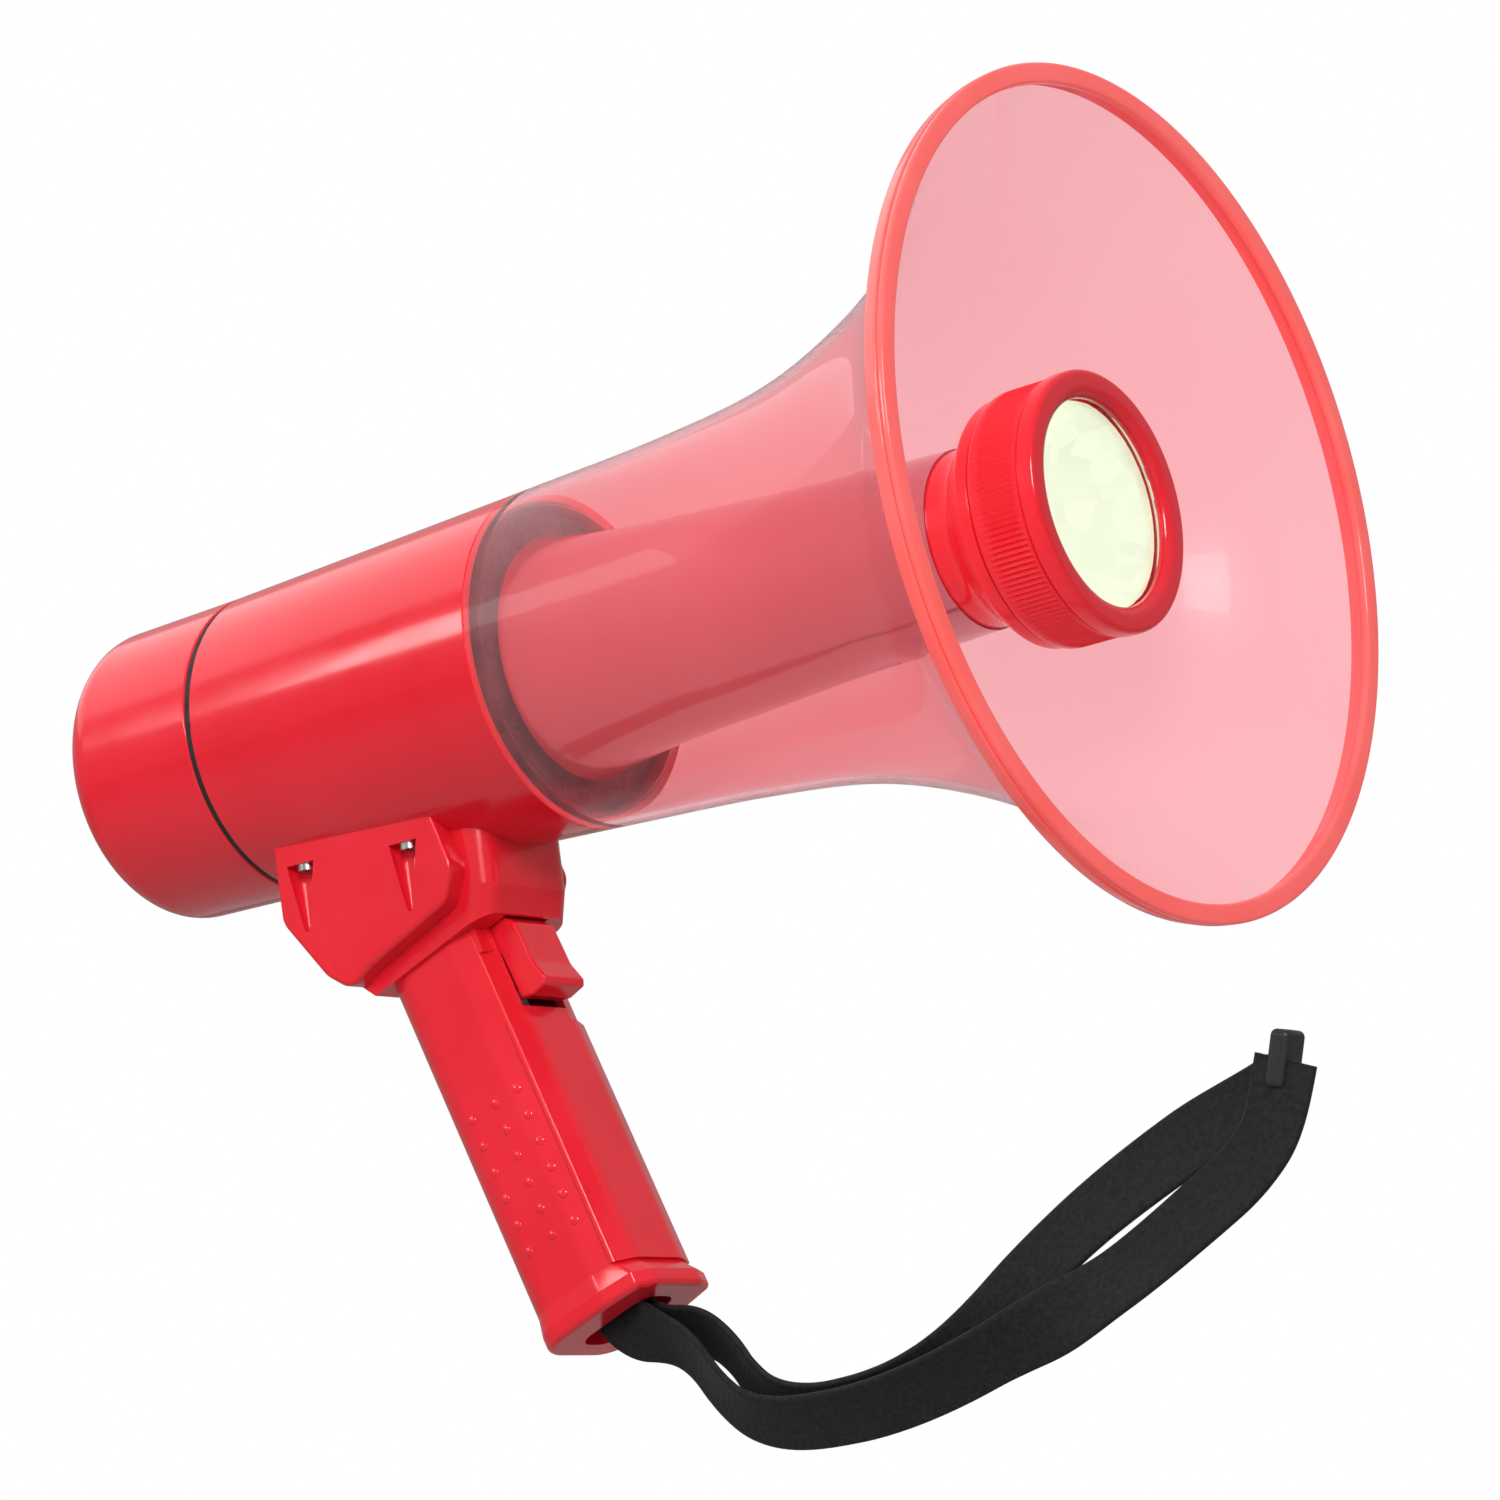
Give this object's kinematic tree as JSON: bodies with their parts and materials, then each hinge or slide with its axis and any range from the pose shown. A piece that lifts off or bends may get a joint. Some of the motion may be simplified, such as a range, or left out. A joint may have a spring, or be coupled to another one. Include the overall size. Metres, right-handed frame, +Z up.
{
  "type": "handheld megaphone",
  "caption": "Handheld megaphone: clear red horn with a torch in its mouth, driver barrel, pistol grip with trigger, rear microphone and controls, wrist strap.",
  "frame": {"origin": "middle of the hand grip, on the plane of symmetry", "axes": "+X along the horn towards its mouth, +Z up from the grip to the horn, +Y to the far side"},
  "size_m": [0.3355, 0.2, 0.2983],
  "materials": {
    "clear_red": "polished transparent red",
    "rim_red": "polished red, slightly clear",
    "dark_plate": "satin, dark grey-brown",
    "red_gloss": "moulded gloss",
    "white_plastic": "satin",
    "black_rubber": "matt",
    "black_plastic": "fine grain",
    "strap_webbing": "woven flat webbing",
    "clear_lens": "clear",
    "mirror_coat": "polished",
    "led_yellow": "clear resin",
    "steel": "zinc plated",
    "ferrite": "sintered, matt",
    "copper": "lacquered winding",
    "film": "thin formed film",
    "aluminium": "extruded",
    "circuit_green": "solder resist",
    "cell_sleeve": "shrink sleeve",
    "contact_brass": "plated"
  },
  "bodies": {
    "root": {"amplifier_board": "circuit_green", "aux_socket": "black_plastic", "back_plate": "steel", "barrel": "red_gloss", "battery_cell": "cell_sleeve", "battery_contact": "contact_brass", "battery_spring": "contact_brass", "battery_tube": "black_plastic", "button_switches": "black_plastic", "cap_screws": "steel", "capacitors": "aluminium", "charge_socket": "black_plastic", "control_board": "circuit_green", "diaphragm": "film", "driver_bolts": "steel", "driver_mount": "white_plastic", "duct_plate": "dark_plate", "foot_cap": "red_gloss", "grip_far_shell": "red_gloss", "grip_front_panel": "red_gloss", "grip_near_shell": "red_gloss", "grip_screws": "steel", "heat_sink": "aluminium", "horn_bell": "clear_red", "horn_rim": "rim_red", "led_board": "circuit_green", "led_emitter": "led_yellow", "led_heat_disc": "aluminium", "magnet": "ferrite", "mic_boot": "black_rubber", "mic_capsule": "aluminium", "mic_grille": "black_plastic", "rear_cap": "red_gloss", "reflex_cup": "red_gloss", "saddle": "red_gloss", "saddle_screws": "steel", "seal_ring": "black_rubber", "strap_bar": "steel", "strap_far_band": "strap_webbing", "strap_near_band": "strap_webbing", "strap_slider": "black_plastic", "throat_tube": "white_plastic", "top_plate": "steel", "torch_housing": "red_gloss", "torch_lens": "clear_lens", "torch_reflector": "mirror_coat", "trigger_pin": "steel", "trigger_spring": "steel", "trigger_switch": "white_plastic", "voice_coil": "copper", "volume_pot": "black_plastic"},
    "trigger": {"trigger": "red_gloss"},
    "volume_knob": {"volume_knob": "black_plastic"},
    "siren_button": {"siren_button": "black_rubber"},
    "music_button": {"music_button": "black_rubber"},
    "torch_button": {"torch_button": "black_rubber"},
    "torch_bezel": {"torch_bezel": "red_gloss"}
  },
  "joints": [
    {"name": "trigger_press", "type": "hinge", "parent": "root", "child": "trigger", "pos_m": [-0.00433, 0, 0.04844], "axis": [0, 1, 0], "range_deg": [0, 7], "stiffness_Nm_per_rad": 0.5, "springref_deg": -11.46, "deforming": ["trigger_spring"]},
    {"name": "volume_turn", "type": "hinge", "parent": "root", "child": "volume_knob", "pos_m": [-0.11, 0, 0.1325], "axis": [1, 0, 0], "range_deg": [0, 270]},
    {"name": "siren_button_press", "type": "slide", "parent": "root", "child": "siren_button", "axis": [1, 0, 0], "range_m": [0, 0.001], "stiffness_N_per_m": 400, "springref_m": -0.0005},
    {"name": "music_button_press", "type": "slide", "parent": "root", "child": "music_button", "axis": [1, 0, 0], "range_m": [0, 0.001], "stiffness_N_per_m": 400, "springref_m": -0.0005},
    {"name": "torch_button_press", "type": "slide", "parent": "root", "child": "torch_button", "axis": [1, 0, 0], "range_m": [0, 0.001], "stiffness_N_per_m": 400, "springref_m": -0.0005},
    {"name": "bezel_turn", "type": "hinge", "parent": "root", "child": "torch_bezel", "pos_m": [0.1725, 0, 0.113], "axis": [1, 0, 0], "range_deg": [0, 90]}
  ]
}
